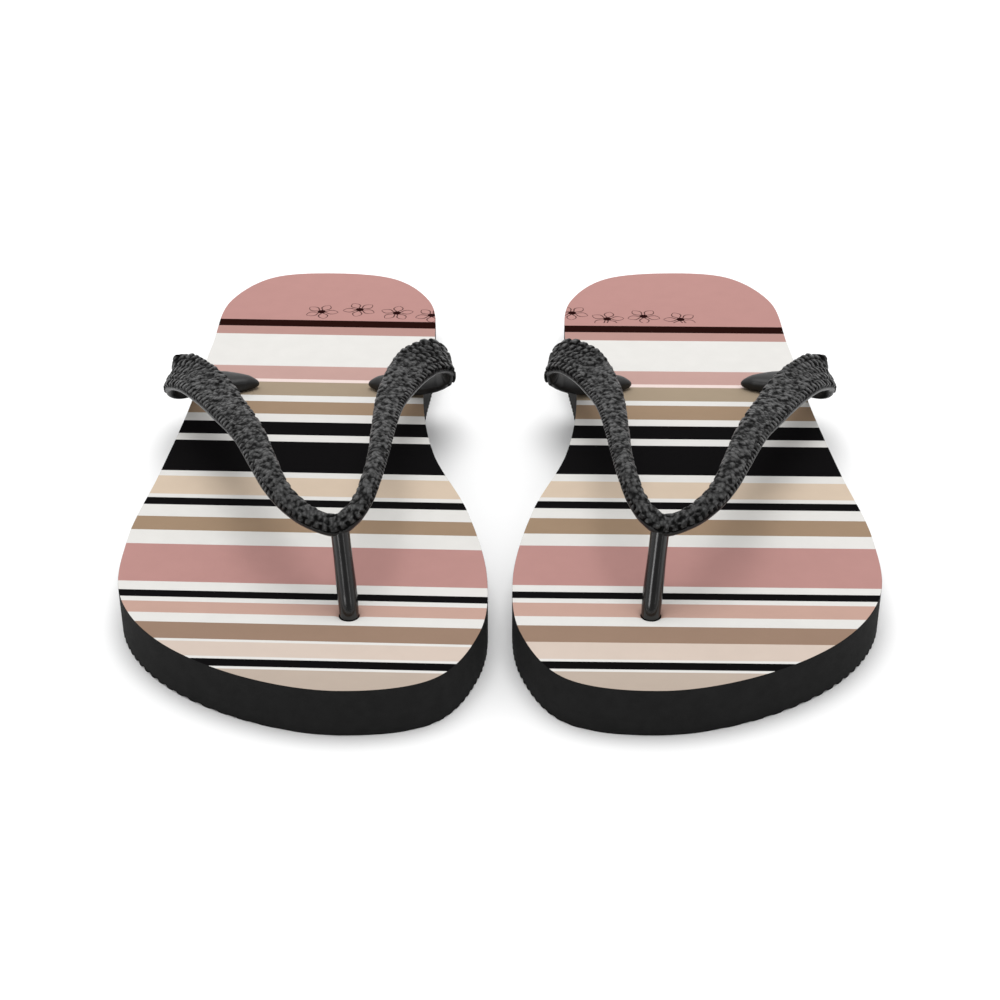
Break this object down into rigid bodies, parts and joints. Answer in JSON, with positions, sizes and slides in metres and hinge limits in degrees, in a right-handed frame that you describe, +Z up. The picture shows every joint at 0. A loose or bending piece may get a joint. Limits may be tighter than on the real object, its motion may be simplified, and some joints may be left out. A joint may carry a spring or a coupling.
{
  "type": "flip flop",
  "caption": "Pair of flat rubber flip flops with a V strap and toe post, a striped fabric footbed and a ribbed tread.",
  "frame": {"origin": "centre of the pair's bounding box in plan, on the ground plane under the soles", "axes": "+Z up, +Y towards the heels, +X from the right shoe towards the left shoe, toes towards -Y"},
  "size_m": [0.2152, 0.265, 0.0416],
  "materials": {
    "outsole": "matte black rubber with crosswise tread ribs",
    "midsole": "matte black closed-cell foam rubber, die-cut wall",
    "topsheet": "fine woven polyester printed in crosswise stripes of dusty pink, tan, white and black",
    "strap": "moulded black rubber, woven relief on the arms, smooth glossy post"
  },
  "bodies": {
    "right_flip_flop": {"right_outsole": "outsole", "right_midsole": "midsole", "right_topsheet": "topsheet", "right_strap": "strap"},
    "left_flip_flop": {"left_outsole": "outsole", "left_midsole": "midsole", "left_topsheet": "topsheet", "left_strap": "strap"}
  },
  "joints": [
    {"name": "pair_spread", "type": "slide", "parent": "right_flip_flop", "child": "left_flip_flop", "axis": [1, 0, 0], "range_m": [0, 0.2]}
  ]
}
